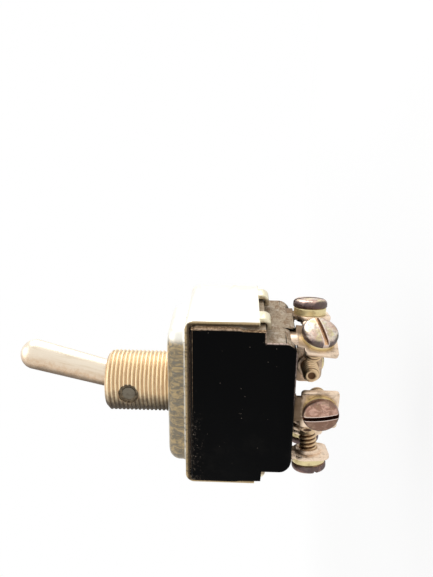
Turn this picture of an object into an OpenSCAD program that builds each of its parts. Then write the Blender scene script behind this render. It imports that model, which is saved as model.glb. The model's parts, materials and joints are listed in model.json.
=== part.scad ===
// Panel toggle switch, double pole, double throw, with six screw terminals.
// The origin is the centre of the bushing on the cover's panel face. +Z runs
// out of the panel along the bushing, X is the throw and Y is the depth.
// Right is +X, left is -X, front is -Y and back is +Y.

/* [Bushing] */
// Outside diameter of the threaded bushing, a 15/32 inch thread
bushing_d = 11.906; // [11.5:0.001:12.7]
// Length of the bushing above the panel face
bushing_len = 12.4; // [11:0.1:14]
// Bore that the lever swings in
bushing_bore_d = 8.6; // [8.5:0.05:9.2]
// Chamfer at the bushing's mouth
bushing_chamfer = 0.75; // [0.3:0.05:1]
// Diameter of the bushing's flange under the cover
bushing_flange_d = 13.4; // [12.9:0.1:14]
// Thickness of that flange
bushing_flange_t = 0.8; // [0.5:0.1:0.8]
// Height of the lever's pivot above the panel face
pivot_z = 7.7; // [7:0.1:8.5]
// Diameter of the pivot pin
pin_d = 2.5; // [2:0.1:2.8]
// Diameter of the recess around each end of the pivot pin
pin_recess_d = 3.9; // [3.2:0.1:4.4]
// Depth of that recess
pin_recess = 0.8; // [0.4:0.1:1]

/* [Lever] */
// Lean of the lever from upright at either end of its throw, in degrees
lever_tilt = 14.9; // [10:0.1:15]
// Diameter of the lever near its round tip
bat_tip_d = 5.9; // [5:0.1:6.2]
// Diameter of the lever where it leaves its ball
bat_neck_d = 5.0; // [4.6:0.1:5.2]
// Distance from the pivot to the tip
bat_reach = 22.8; // [18:0.1:26]
// Diameter of the ball around the pivot
ball_d = 8.2; // [7.6:0.1:8.4]
// Diameter of the stem inside the switch
stem_d = 3.2; // [2.6:0.1:3.4]

/* [Cover] */
// Thickness of the cover's steel sheet
sheet = 0.9; // [0.7:0.1:1]
// Length of the cover over its two legs
cover_len = 34.5; // [34:0.1:36]
// Width of the cover's legs and flange
cover_w = 18.2; // [17.6:0.1:19]
// Height of the raised pan above the flange
pan_h = 3.5; // [3.2:0.1:4]
// Step from each end of the cover to the pan
pan_end_ledge = 2.65; // [2.4:0.05:2.8]
// Step from each side of the cover to the pan
pan_side_ledge = 0.9; // [0.8:0.05:1.1]
// Radius of the pan's corners, seen from the panel
pan_corner_r = 4.0; // [3.6:0.1:5]
// Radius of the edge around the pan's face
pan_edge_r = 2.3; // [2:0.1:3]
// Radius of the hollow where the pan meets its flange
pan_foot_r = 0.7; // [0.4:0.1:0.9]
// Inner radius of the bend between flange and leg
leg_bend_r = 0.85; // [0.5:0.05:1.1]
// Level of the legs' ends, below the panel face
leg_end_z = -16.9; // [-17.2:0.1:-15]
// Width of each crimp tab
tab_w = 3.4; // [2.5:0.1:4]
// Distance of each crimp tab's middle from the cover's middle
tab_y = 5.6; // [4.5:0.1:6.5]
// Reach of each crimp tab under the body's step
tab_reach = 0.95; // [0.6:0.05:1.4]

/* [Body] */
// Gap between the body's ends and the cover's legs
leg_gap = 0.05; // [0.05:0.01:0.1]
// Depth of the moulded body, across both poles
body_depth = 20.4; // [20:0.1:21.5]
// Level of the step between the wide part and the narrow part
step_z = -18; // [-19:0.1:-17.5]
// Step at each end from the wide part to the narrow part
neck_step = 2.5; // [2.3:0.05:2.6]
// Level of the body's back
back_z = -23.7; // [-25:0.1:-23.2]
// Radius of the round corners at the back
back_r = 2.8; // [2:0.1:3]
// Width of the square-cornered rib between the poles
rib_w = 7; // [5:0.1:7.2]
// Thickness of the fibre gasket between cover and body
gasket_t = 0.25; // [0.2:0.05:0.4]
// Distance of each pole's middle from the switch's middle
pole_y = 5; // [4.9:0.05:5.1]

/* [Terminals] */
// Thickness of the terminals' brass strip
strip = 0.8; // [0.7:0.05:0.85]
// Width of the strip inside the body
strip_w = 5.4; // [5:0.1:5.6]
// Width of the tab that carries the screw
tongue_w = 8; // [7.5:0.1:8.2]
// Distance of the end terminals from the body's ends
end_inset = 3.6; // [3.55:0.05:3.8]
// Distance of the middle terminals from the body's sides
mid_inset = 1.7; // [1.7:0.05:1.8]
// Level of the end screws' axes
end_screw_z = -27.5; // [-28:0.1:-27.4]
// Level of the middle screws' axes
mid_screw_z = -28.5; // [-29:0.1:-28]
// Radius of the tongues' corners
tongue_r = 1.9; // [1:0.1:2.5]
// Radius of the less worn tongues' corners, front right and front middle
sharp_r = 0.7; // [0.3:0.1:1.5]
// Turn of the bent back right tongue, in degrees
turn_back_right = 12.5; // [-20:0.5:20]
// Turn of the bent front right tongue, in degrees
turn_front_right = -22; // [-24:0.5:20]
// Turn of the bent front middle tongue, in degrees
turn_front_middle = -4.5; // [-20:0.5:20]
// Turn of the bent front left tongue, in degrees
turn_front_left = 15; // [-20:0.5:20]
// Turn of the bent back left tongue, in degrees
turn_back_left = 6; // [-20:0.5:20]
// Lean inwards of the bent front right tongue, in degrees
lean_front_right = 7; // [0:0.5:8]
// Lean inwards of the bent front left tongue, in degrees
lean_front_left = 4; // [0:0.5:8]

/* [Screws] */
// Outside diameter of the screws' thread, a number 6
screw_d = 3.5; // [3.4:0.05:3.6]
// Length of each screw under its head, a quarter of an inch
screw_len = 6.35; // [5.5:0.05:8]
// Diameter of the screws' heads
head_d = 6.7; // [6.4:0.1:7.1]
// Height of the heads
head_h = 1.8; // [1.7:0.1:2.2]
// Radius of the round edge of the heads
head_edge_r = 0.9; // [0.6:0.05:1]
// Height of the low crown on the heads
head_crown = 0.25; // [0.15:0.05:0.4]
// Width of the screwdriver slots
slot_w = 0.8; // [0.6:0.05:1.1]
// Depth of the screwdriver slots
slot_depth = 0.9; // [0.6:0.05:1.1]
// Outside diameter of the cup washers
washer_d = 6.4; // [6.2:0.1:7.0]
// Height of the cup washers that keep their shape
washer_h = 1.45; // [1.1:0.05:1.5]
// Height of the flattened cup washers, front right and both middle ones
flat_washer_h = 0.8; // [0.8:0.05:1.1]
// Thickness of the cup washers' sheet
washer_t = 0.45; // [0.4:0.05:0.6]

/* [Rocking contacts] */
// Level of the rockers' axes
rocker_z = -13.05; // [-13.3:0.01:-13.05]
// Swing of each rocker from level, in degrees
rocker_swing = 8; // [7.5:0.5:8]
// Rise of each rocker's arms, in degrees
rocker_rise = 16; // [15.5:0.5:16]
// Thickness of the rockers' strip
rocker_t = 0.8; // [0.7:0.05:0.8]
// Width of the rockers
rocker_w = 3.2; // [2.8:0.1:3.4]
// Radius of the rockers' round knife edge
knife_r = 1.0; // [0.9:0.05:1]
// Diameter of the silver contacts
contact_d = 2.4; // [2:0.1:2.6]
// Distance from the rockers' axis to the silver contacts, along the arm
contact_arm = 7.7; // [7.5:0.1:7.8]
// Diameter of the plungers
plunger_d = 2.44; // [2.3:0.02:2.46]
// Distance from the pivot to the plungers' tips
plunger_reach = 20; // [19.9:0.01:20]

/* [Hidden] */
$fn = 72;
// Clearances: fixed fits, running fits and loose fits
fit_gap = 0.02;
run_gap = 0.05;
loose_gap = 0.1;
eps = 0.01;

cover_in = cover_len - 2 * sheet;
body_len = cover_in - 2 * leg_gap;
neck_len = body_len - 2 * neck_step;
pan_len = cover_len - 2 * pan_end_ledge;
pan_w = cover_w - 2 * pan_side_ledge;
end_x = body_len / 2 - end_inset;
mid_y = body_depth / 2 - mid_inset;
flange_z = -pan_h;
flange_under = flange_z - sheet;
body_top = flange_under - gasket_t;
body_corner_r = 1.4;
body_edge_r = 0.45;
relief = 0.45;
relief_z = step_z + 4;
wall = 1.25;
chamber_y0 = 1.0;
chamber_y1 = body_depth / 2 - wall;
chamber_x = end_x + strip / 2 + run_gap;
divider_z = -7.2;
floor_z = back_z + 3;
well_x = 5.6;

plate_under = -sheet;
pan_in_len = pan_len - 2 * sheet;
pan_in_w = pan_w - 2 * sheet;
// Step from the bushing's thread in to its plain neck through the sheet
spigot_step = 0.3;
// The bushing's flange has two flats that clear the pan's inner bends
flange_flats = pan_in_w - 2 * (pan_edge_r - sheet) - 2 * run_gap;
tab_bend_r = 0.45;
tab_flat_z = step_z + 0.35;

// The yoke, in the lever's own frame, whose origin is the pivot
yoke_top = -10.8;
yoke_h = 3.2;
yoke_x = 6;
stem_end = -13.4;
prong_r = 1.9;
yoke_y = 2 * pole_y + 2 * prong_r;
prong_end = -18;
plunger_bore_d = plunger_d + 2 * run_gap;
bore_top = -12.3;
plunger_top = -15.4;
spring_wire = 0.36;
spring_r = 0.92;
spring_turns = 4;

// The arm's top surface passes this far above the knife edge's axis
groove_z = 0.3;
arm_len = 8.9;
contact_h = 0.5;
dome_h = 0.25;
fixed_rim = 0.45;
rivet_r = 0.7;
cradle_r = knife_r + run_gap;
cradle_x = 2.8;
cradle_drop = 0.55;
cradle_wall = 0.8;

// Reach of the tabs above and below their screws
end_tab_up = 2.7;
end_tab_down = 3.8;
bent_tab_down = 3.5;
mid_tab_up = 3.6;
mid_tab_down = 3.4;
short_tab_down = 2.7;
collar_r = 2.6;
collar_h = 0.7;
// Length of a tongue's neck below the body's back before it turns
neck_straight = 0.3;
bend_z = back_z - neck_straight;

// The six terminals: row, end, turn of the tongue, its lean inwards, its shift along the
// strip's width, rise of the screw above the usual level, radius of the tongue's corners,
// reach below the screw, height of the washer and turn of the slot
BACK_RIGHT = [1, 1, turn_back_right, 0, 0, 0.25, tongue_r, end_tab_down, washer_h, 8];
FRONT_RIGHT = [-1, 1, turn_front_right, lean_front_right, 0, -0.3, sharp_r, bent_tab_down,
               flat_washer_h, -76];
BACK_MIDDLE = [1, 0, 0, 0, 0, 0.2, tongue_r, short_tab_down, flat_washer_h, 40];
FRONT_MIDDLE = [-1, 0, turn_front_middle, 0, 0.35, 0, sharp_r, mid_tab_down,
                flat_washer_h, 8];
BACK_LEFT = [1, -1, turn_back_left, 0, 0, 0, tongue_r, end_tab_down, washer_h, 25];
FRONT_LEFT = [-1, -1, turn_front_left, lean_front_left, 0, 0, tongue_r, end_tab_down,
              washer_h, 70];

function row_of(place) = place[0];
function end_of(place) = place[1];
function turn_of(place) = place[2];
function lean_of(place) = place[3];
function shift_of(place) = place[4];
function screw_z_of(place) = place[5] + (place[1] == 0 ? mid_screw_z : end_screw_z);
function corner_of(place) = place[6];
function down_of(place) = place[7];
function washer_h_of(place) = place[8];
function slot_turn_of(place) = place[9];

// Level of the fixed contacts' domes, just under the closed moving contact
function arm_point(along, down) =
    let (a = rocker_rise)
    [-along * cos(a) - down * sin(a),
     groove_z + along * sin(a) - down * cos(a)];
function turn(p, a) = [p[0] * cos(a) + p[1] * sin(a), p[1] * cos(a) - p[0] * sin(a)];
contact_at = turn(arm_point(contact_arm, rocker_t + contact_h), -rocker_swing);
dome_top = rocker_z + contact_at[1] - run_gap;
shelf_z = dome_top - dome_h - fixed_rim;
contact_x = -contact_at[0];
shelf_x0 = contact_x - contact_d / 2 - 0.2;

// ---- Shared shapes ----

// A rectangle w by h about its middle with corners of radius r
module round_rect(w, h, r) {
    square([w - 2 * r, h], center = true);
    square([w, h - 2 * r], center = true);
    for (x = [-1, 1], y = [-1, 1])
        translate([x * (w / 2 - r), y * (h / 2 - r)]) circle(r);
}

// A rectangle from z0 to z1 whose corners have the radius top_r above and low_r below
module round_band(w, z0, z1, low_r, top_r) {
    translate([-w / 2 + low_r, z0]) square([w - 2 * low_r, z1 - z0]);
    translate([-w / 2, z0 + low_r]) square([w, z1 - z0 - low_r - top_r]);
    translate([-w / 2 + top_r, z0 + low_r]) square([w - 2 * top_r, z1 - z0 - low_r]);
    for (x = [-1, 1]) {
        translate([x * (w / 2 - low_r), z0 + low_r]) circle(low_r);
        translate([x * (w / 2 - top_r), z1 - top_r]) circle(top_r);
    }
}

// Stands an X-Z outline up and gives it a depth along Y
module along_y(depth) {
    rotate([90, 0, 0]) linear_extrude(depth, center = true) children();
}

// Stands a Y-Z outline up and gives it a length along X
module along_x(length) {
    rotate([90, 0, 90]) linear_extrude(length, center = true) children();
}

// The lever's frame: origin at the pivot, leaning as at rest
module at_lever() {
    translate([0, 0, pivot_z]) rotate([0, lever_tilt, 0]) children();
}

// A terminal's frame: Y points out of its tongue, towards the screw's head
module at_terminal(place) {
    row = row_of(place);
    end = end_of(place);
    if (end == 0)
        translate([0, row * mid_y, 0]) rotate([0, 0, row > 0 ? 0 : 180]) children();
    else
        translate([end * end_x, row * pole_y, 0]) rotate([0, 0, -90 * end]) children();
}

// The frame of a terminal's tongue, turned and leaning from the bend in its neck
module bent(place) {
    translate([shift_of(place), 0, bend_z])
        rotate([0, 0, turn_of(place)]) rotate([-lean_of(place), 0, 0])
            translate([0, 0, -bend_z]) children();
}

// The frame of a terminal's screw: Z runs out along the screw
module at_screw(place) {
    at_terminal(place) bent(place)
        translate([0, 0, screw_z_of(place)]) rotate([-90, 0, 0]) children();
}

// ---- Housing ----

// The body's outside: a wide part, a narrow part and the rib between the poles
module body_block() {
    intersection() {
        translate([0, 0, back_z]) linear_extrude(body_top - back_z)
            round_rect(body_len, body_depth, body_edge_r);
        along_x(body_len) round_band(body_depth, back_z, body_top, body_edge_r, body_edge_r);
        along_y(body_depth) round_band(body_len, step_z, body_top, 0.3, body_corner_r);
    }
    intersection() {
        translate([0, 0, back_z]) linear_extrude(body_top - back_z - body_corner_r)
            round_rect(neck_len, body_depth, body_edge_r);
        along_x(body_len) round_band(body_depth, back_z, body_top, body_edge_r, body_edge_r);
        along_y(body_depth) round_band(neck_len, back_z, body_top - 2, back_r, back_r);
    }
    along_y(rib_w) round_band(neck_len, back_z, step_z + 1, body_edge_r, body_edge_r);
}

// The hollow of one pole: room for the rocker, its well and the strips' slots
module pole_chamber(row) {
    low = row > 0 ? chamber_y0 : -chamber_y1;
    slot_w2 = strip_w + 2 * run_gap;
    translate([-chamber_x, low, shelf_z - strip])
        cube([2 * chamber_x, chamber_y1 - chamber_y0, body_top - shelf_z + strip + 1]);
    translate([-well_x, low, floor_z])
        cube([2 * well_x, chamber_y1 - chamber_y0, shelf_z - floor_z]);
    for (end = [-1, 1])
        translate([end * end_x, row * pole_y, (back_z + shelf_z) / 2])
            cube([strip + 2 * run_gap, slot_w2, shelf_z - back_z + 1], center = true);
    translate([0, row * mid_y, (back_z + floor_z) / 2])
        cube([slot_w2, strip + 2 * run_gap, floor_z - back_z + 1], center = true);
}

// The relief along the edges that the crimp tabs fold over
module tab_relief(end) {
    x = body_len / 2;
    scale([end, 1, 1]) along_y(body_depth + 1)
        polygon([[x - relief, step_z - 1], [x - relief, relief_z],
                 [x, relief_z + 2 * relief], [x + 1, relief_z + 2 * relief], [x + 1, step_z - 1]]);
}

module body() {
    color([0.07, 0.065, 0.06]) difference() {
        body_block();
        for (row = [-1, 1]) pole_chamber(row);
        translate([-chamber_x, -chamber_y1, divider_z])
            cube([2 * chamber_x, 2 * chamber_y1, body_top - divider_z + 1]);
        for (end = [-1, 1]) tab_relief(end);
    }
}

// Outline of the pan's side from its middle plane: foot, wall, edge and face
module pan_side(half, edge_r, foot_r, top, under) {
    difference() {
        union() {
            translate([0, under]) square([half - edge_r, top - under]);
            translate([0, under]) square([half, top - edge_r - under]);
            translate([half - edge_r, top - edge_r]) circle(edge_r);
            if (foot_r > 0) translate([0, under]) square([half + foot_r, flange_z + foot_r - under]);
        }
        if (foot_r > 0) translate([half + foot_r, flange_z + foot_r]) circle(foot_r);
        translate([-half, under - 1]) square([half, top - under + 2]);
    }
}

// A drawn pan: straight sides with pan_side's outline, round corners turned from it
module pan_shape(len, w, corner_r, edge_r, foot_r, top, under) {
    cx = len / 2 - corner_r;
    cy = w / 2 - corner_r;
    along_y(2 * cy) for (s = [-1, 1]) scale([s, 1])
        pan_side(len / 2, edge_r, foot_r, top, under);
    along_x(2 * cx) for (s = [-1, 1]) scale([s, 1])
        pan_side(w / 2, edge_r, foot_r, top, under);
    for (x = [-1, 1], y = [-1, 1]) translate([x * cx, y * cy, 0])
        rotate_extrude() pan_side(corner_r, edge_r, foot_r, top, under);
}

// Outline of the flange and the two legs
module leg_outline() {
    difference() {
        round_band(cover_len, leg_end_z - leg_bend_r - sheet, flange_z, leg_bend_r + sheet,
                   leg_bend_r + sheet);
        round_band(cover_in, leg_end_z - 4, flange_under, leg_bend_r, leg_bend_r);
        translate([-cover_len, leg_end_z - 10]) square([2 * cover_len, 10]);
    }
}

// Outline of a crimp tab: it runs on from the leg and folds under the body's step
module tab_outline(end) {
    inner = cover_in / 2;
    bend_x = inner - tab_bend_r;
    scale([end, 1]) {
        translate([inner, tab_flat_z]) square([sheet, leg_end_z - tab_flat_z + eps]);
        intersection() {
            difference() {
                translate([bend_x, tab_flat_z]) circle(tab_bend_r + sheet);
                translate([bend_x, tab_flat_z]) circle(tab_bend_r);
            }
            translate([bend_x, tab_flat_z - 2]) square([2, 2]);
        }
        translate([bend_x - tab_reach, tab_flat_z - tab_bend_r - sheet])
            square([tab_reach, sheet]);
    }
}

module cover() {
    color([0.72, 0.69, 0.6]) {
        difference() {
            union() {
                along_y(cover_w) leg_outline();
                pan_shape(pan_len, pan_w, pan_corner_r, pan_edge_r, pan_foot_r, 0, flange_under);
            }
            pan_shape(pan_in_len, pan_in_w, pan_corner_r - sheet, pan_edge_r - sheet, 0,
                      plate_under, flange_under - 1);
            translate([0, 0, -5]) cylinder(h = 10, d = bushing_d + 2 * fit_gap);
        }
        for (end = [-1, 1], y = [-1, 1])
            translate([0, y * tab_y, 0]) along_y(tab_w) tab_outline(end);
    }
}

// Fibre sheet that insulates the mechanism from the cover
module gasket() {
    color([0.16, 0.1, 0.07]) translate([0, 0, body_top]) difference() {
        linear_extrude(gasket_t) round_rect(body_len - 2 * body_corner_r, cover_w - 0.4, 1);
        translate([0, 0, -1]) linear_extrude(gasket_t + 2)
            round_rect(2 * chamber_x - 1, pan_in_w - 0.6, 2);
    }
}

module bushing() {
    color([0.62, 0.52, 0.38]) difference() {
        union() {
            cylinder(h = bushing_len - bushing_chamfer, d = bushing_d);
            translate([0, 0, bushing_len - bushing_chamfer])
                cylinder(h = bushing_chamfer, d1 = bushing_d, d2 = bushing_d - 2 * bushing_chamfer);
            translate([0, 0, plate_under]) cylinder(h = sheet + eps, d = bushing_d - 2 * spigot_step);
            translate([0, 0, plate_under - bushing_flange_t]) intersection() {
                cylinder(h = bushing_flange_t, d = bushing_flange_d);
                translate([-bushing_flange_d / 2, -flange_flats / 2, 0])
                    cube([bushing_flange_d, flange_flats, bushing_flange_t]);
            }
        }
        translate([0, 0, -5]) cylinder(h = bushing_len + 10, d = bushing_bore_d);
        translate([0, 0, pivot_z]) rotate([90, 0, 0])
            cylinder(h = bushing_d + 2, d = pin_d + 2 * fit_gap, center = true);
        for (s = [-1, 1]) translate([0, s * (bushing_d / 2 - pin_recess), pivot_z])
            rotate([-90 * s, 0, 0]) cylinder(h = 3, d = pin_recess_d);
    }
}

module pivot_pin() {
    color([0.55, 0.55, 0.56]) translate([0, 0, pivot_z]) rotate([90, 0, 0])
        cylinder(h = bushing_d - 2 * pin_recess + 0.4, d = pin_d, center = true);
}

// ---- Lever and what it carries ----

module lever() {
    tip_r = bat_tip_d / 2;
    color([0.74, 0.68, 0.58]) at_lever() difference() {
        union() {
            translate([0, 0, bat_reach - tip_r]) sphere(tip_r);
            cylinder(h = bat_reach - tip_r, d1 = bat_neck_d, d2 = bat_tip_d);
            sphere(d = ball_d);
            translate([0, 0, stem_end]) cylinder(h = -stem_end, d = stem_d);
        }
        rotate([90, 0, 0]) cylinder(h = 12, d = pin_d + 2 * run_gap, center = true);
    }
}

module yoke() {
    color([0.3, 0.17, 0.09]) at_lever() difference() {
        union() {
            translate([0, 0, yoke_top - yoke_h]) linear_extrude(yoke_h)
                round_rect(yoke_x, yoke_y, prong_r);
            for (row = [-1, 1]) translate([0, row * pole_y, prong_end])
                cylinder(h = yoke_top - prong_end - 1, r = prong_r);
        }
        translate([0, 0, stem_end]) cylinder(h = 10, d = stem_d + 2 * fit_gap);
        for (row = [-1, 1]) translate([0, row * pole_y, prong_end - 1])
            cylinder(h = bore_top - prong_end + 1, d = plunger_bore_d);
    }
}

module plunger(row) {
    r = plunger_d / 2;
    color([0.35, 0.2, 0.1]) at_lever() translate([0, row * pole_y, 0]) {
        translate([0, 0, -plunger_reach + r]) sphere(r);
        translate([0, 0, -plunger_reach + r]) cylinder(h = plunger_top + plunger_reach - r, r = r);
    }
}

// A wire coil: rings of points along a helix, joined to one closed tube
function coil_ring(angle, sides) =
    let (turns_up = angle / 360,
         rise = spring_wire / 2 + turns_up / spring_turns
                * (bore_top - plunger_top - 2 * fit_gap - spring_wire))
    [for (i = [0 : sides - 1])
        let (a = 360 * i / sides, rr = spring_r + spring_wire / 2 * cos(a))
        [rr * cos(angle), rr * sin(angle), rise + spring_wire / 2 * sin(a)]];

module coil_spring(row) {
    sides = 6;
    steps = 12 * spring_turns;
    points = [for (k = [0 : steps]) each coil_ring(360 * spring_turns * k / steps, sides)];
    walls = [for (k = [0 : steps - 1], i = [0 : sides - 1])
        [k * sides + i, k * sides + (i + 1) % sides,
         (k + 1) * sides + (i + 1) % sides, (k + 1) * sides + i]];
    first = [for (i = [sides - 1 : -1 : 0]) i];
    last = [for (i = [0 : sides - 1]) steps * sides + i];
    color([0.6, 0.6, 0.62]) at_lever()
        translate([0, row * pole_y, plunger_top + fit_gap])
            polyhedron(points, concat([first], walls, [last]), convexity = 10);
}

// ---- Contacts ----

// The rocker's frame: origin on its knife edge, leaning as at rest
module at_rocker(row) {
    translate([0, row * pole_y, rocker_z]) rotate([0, -rocker_swing, 0]) children();
}

// Outline of one arm, from the knife edge outwards
module arm_outline() {
    difference() {
        translate([0, groove_z]) rotate(rocker_rise) translate([-2, -rocker_t])
            square([arm_len + 2, rocker_t]);
        translate([-10, -10]) square([10, 20]);
    }
}

// The knife edge is cut off level with the arms' tops
module knife_outline() {
    difference() {
        circle(knife_r);
        for (s = [-1, 1]) scale([s, 1]) translate([0, groove_z]) rotate(rocker_rise)
            translate([-3, 0]) square([6, 3]);
    }
}

module rocker(row) {
    color([0.75, 0.5, 0.3]) at_rocker(row) along_y(rocker_w) {
        for (s = [-1, 1]) scale([s, 1]) arm_outline();
        knife_outline();
    }
}

// A silver contact under the rocker's arm at the given end
module moving_contact(row, end) {
    color([0.85, 0.85, 0.84]) at_rocker(row) scale([end, 1, 1])
        translate([0, 0, groove_z]) rotate([0, -rocker_rise, 0])
            translate([contact_arm, 0, -rocker_t - contact_h])
                cylinder(h = contact_h, d = contact_d);
}

// A riveted silver contact with a low dome
module fixed_contact(row, end) {
    r = contact_d / 2;
    dome_r = (r * r + dome_h * dome_h) / (2 * dome_h);
    color([0.85, 0.85, 0.84]) translate([end * contact_x, row * pole_y, shelf_z]) {
        cylinder(h = fixed_rim, r = r);
        translate([0, 0, -strip]) cylinder(h = strip + eps, r = rivet_r);
        intersection() {
            translate([0, 0, fixed_rim + dome_h - dome_r]) sphere(dome_r);
            translate([0, 0, fixed_rim - eps]) cylinder(h = 1, r = r);
        }
    }
}

// ---- Terminals ----

// The tongue outside the body: a bent neck and a tab with a threaded collar
module tongue(place, up) {
    screw_z = screw_z_of(place);
    top = screw_z + up;
    length = up + down_of(place);
    bent(place) {
        translate([0, 0, top - length / 2]) along_y(strip)
            round_rect(tongue_w, length, corner_of(place));
        translate([-strip_w / 2, -strip / 2, top - 1])
            cube([strip_w, strip, back_z - run_gap - top + 1]);
        translate([0, 0, screw_z]) rotate([90, 0, 0])
            cylinder(h = strip / 2 + collar_h, r = collar_r);
    }
}

// The screw's hole through the tab and its collar
module tongue_hole(place) {
    bent(place) translate([0, 0, screw_z_of(place)]) rotate([90, 0, 0])
        cylinder(h = 6, d = screw_d + 2 * fit_gap, center = true);
}

// An end terminal: tongue, strip up through the body and a shelf for the fixed contact
module end_terminal(place) {
    shelf_len = end_x + strip / 2 - shelf_x0;
    color([0.78, 0.7, 0.5]) difference() {
        at_terminal(place) difference() {
            union() {
                tongue(place, end_tab_up);
                translate([-strip_w / 2, -strip / 2, bend_z])
                    cube([strip_w, strip, shelf_z - bend_z]);
                translate([-strip_w / 2, strip / 2 - shelf_len, shelf_z - strip])
                    cube([strip_w, shelf_len, strip]);
            }
            tongue_hole(place);
        }
        translate([end_of(place) * contact_x, row_of(place) * pole_y, shelf_z - 3])
            cylinder(h = 6, r = rivet_r + fit_gap);
    }
}

// A middle terminal: tongue, strip along the chamber's floor and the rocker's cradle
module middle_terminal(place) {
    reach = mid_y - pole_y + rocker_w / 2;
    color([0.78, 0.7, 0.5]) at_terminal(place) difference() {
        union() {
            tongue(place, mid_tab_up);
            translate([-strip_w / 2, -strip / 2, bend_z])
                cube([strip_w, strip, floor_z + strip - bend_z]);
            translate([-strip_w / 2, -reach, floor_z]) cube([strip_w, reach + strip / 2, strip]);
            for (y = [-reach, -reach + rocker_w - cradle_wall])
                translate([-cradle_x / 2, y, floor_z])
                    cube([cradle_x, cradle_wall, rocker_z - cradle_drop - floor_z]);
        }
        tongue_hole(place);
        translate([0, 0, rocker_z]) rotate([90, 0, 0]) cylinder(h = 12, r = cradle_r);
    }
}

// Outline of half a screw's head: a straight rim, a round edge and a low crown
module head_outline() {
    flat_r = head_d / 2 - head_edge_r;
    rim = head_h - head_crown - head_edge_r;
    crown_r = (flat_r * flat_r + head_crown * head_crown) / (2 * head_crown);
    intersection() {
        union() {
            square([head_d / 2, rim]);
            square([flat_r, head_h]);
            translate([flat_r, rim]) circle(head_edge_r);
        }
        translate([0, head_h - crown_r]) circle(crown_r);
        square([head_d, head_h]);
    }
}

// A slotted screw with a round-edged head, whose underside is on the washer
module terminal_screw(place) {
    r = head_d / 2;
    seat = strip / 2 + washer_h_of(place);
    color([0.68, 0.66, 0.64]) at_screw(place) translate([0, 0, seat]) difference() {
        union() {
            rotate_extrude() head_outline();
            translate([0, 0, -screw_len + 0.5]) cylinder(h = screw_len - 0.5 + eps, d = screw_d);
            translate([0, 0, -screw_len]) cylinder(h = 0.5, d1 = screw_d - 1, d2 = screw_d);
        }
        rotate([0, 0, slot_turn_of(place)]) translate([-slot_w / 2, -r - 1, head_h - slot_depth])
            cube([slot_w, head_d + 2, 3]);
    }
}

// A cup washer: a flat top under the head and a rim that stands on the tab
module cup_washer(place) {
    r = washer_d / 2;
    h = washer_h_of(place);
    edge = 0.35;
    color([0.83, 0.69, 0.36]) at_screw(place) translate([0, 0, strip / 2])
        rotate_extrude() difference() {
            union() {
                square([r, h - edge]);
                square([r - edge, h]);
                translate([r - edge, h - edge]) circle(edge);
            }
            translate([-1, -1]) square([screw_d / 2 + loose_gap + 1, h + 2]);
            translate([-1, -1]) square([r - washer_t + 1, h - washer_t + 1]);
        }
}

body();
cover();
gasket();
bushing();
pivot_pin();
lever();
yoke();
plunger(-1);  // plunger_front
plunger(1);  // plunger_back
coil_spring(-1);  // spring_front
coil_spring(1);  // spring_back
rocker(-1);  // rocker_front
rocker(1);  // rocker_back
moving_contact(-1, 1);  // moving_contact_front_right
moving_contact(-1, -1);  // moving_contact_front_left
moving_contact(1, 1);  // moving_contact_back_right
moving_contact(1, -1);  // moving_contact_back_left
fixed_contact(-1, 1);  // fixed_contact_front_right
fixed_contact(-1, -1);  // fixed_contact_front_left
fixed_contact(1, 1);  // fixed_contact_back_right
fixed_contact(1, -1);  // fixed_contact_back_left
end_terminal(FRONT_RIGHT);  // terminal_front_right
middle_terminal(FRONT_MIDDLE);  // terminal_front_middle
end_terminal(FRONT_LEFT);  // terminal_front_left
end_terminal(BACK_RIGHT);  // terminal_back_right
middle_terminal(BACK_MIDDLE);  // terminal_back_middle
end_terminal(BACK_LEFT);  // terminal_back_left
terminal_screw(FRONT_RIGHT);  // screw_front_right
terminal_screw(FRONT_MIDDLE);  // screw_front_middle
terminal_screw(FRONT_LEFT);  // screw_front_left
terminal_screw(BACK_RIGHT);  // screw_back_right
terminal_screw(BACK_MIDDLE);  // screw_back_middle
terminal_screw(BACK_LEFT);  // screw_back_left
cup_washer(FRONT_RIGHT);  // washer_front_right
cup_washer(FRONT_MIDDLE);  // washer_front_middle
cup_washer(FRONT_LEFT);  // washer_front_left
cup_washer(BACK_RIGHT);  // washer_back_right
cup_washer(BACK_MIDDLE);  // washer_back_middle
cup_washer(BACK_LEFT);  // washer_back_left
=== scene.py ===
"""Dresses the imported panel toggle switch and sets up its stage.

Lengths typed in this file are in millimetres, and MM turns them into metres. The add-on's
settings and CAD_BOX are in metres, as in Blender. +Z runs out of the panel along the
bushing, X is the throw and Y is the depth. The front is at -Y.
"""
import json
import math
from collections import namedtuple

import bmesh
import bpy
import numpy as np
from mathutils import Matrix, Vector
from mathutils.bvhtree import BVHTree


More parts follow.
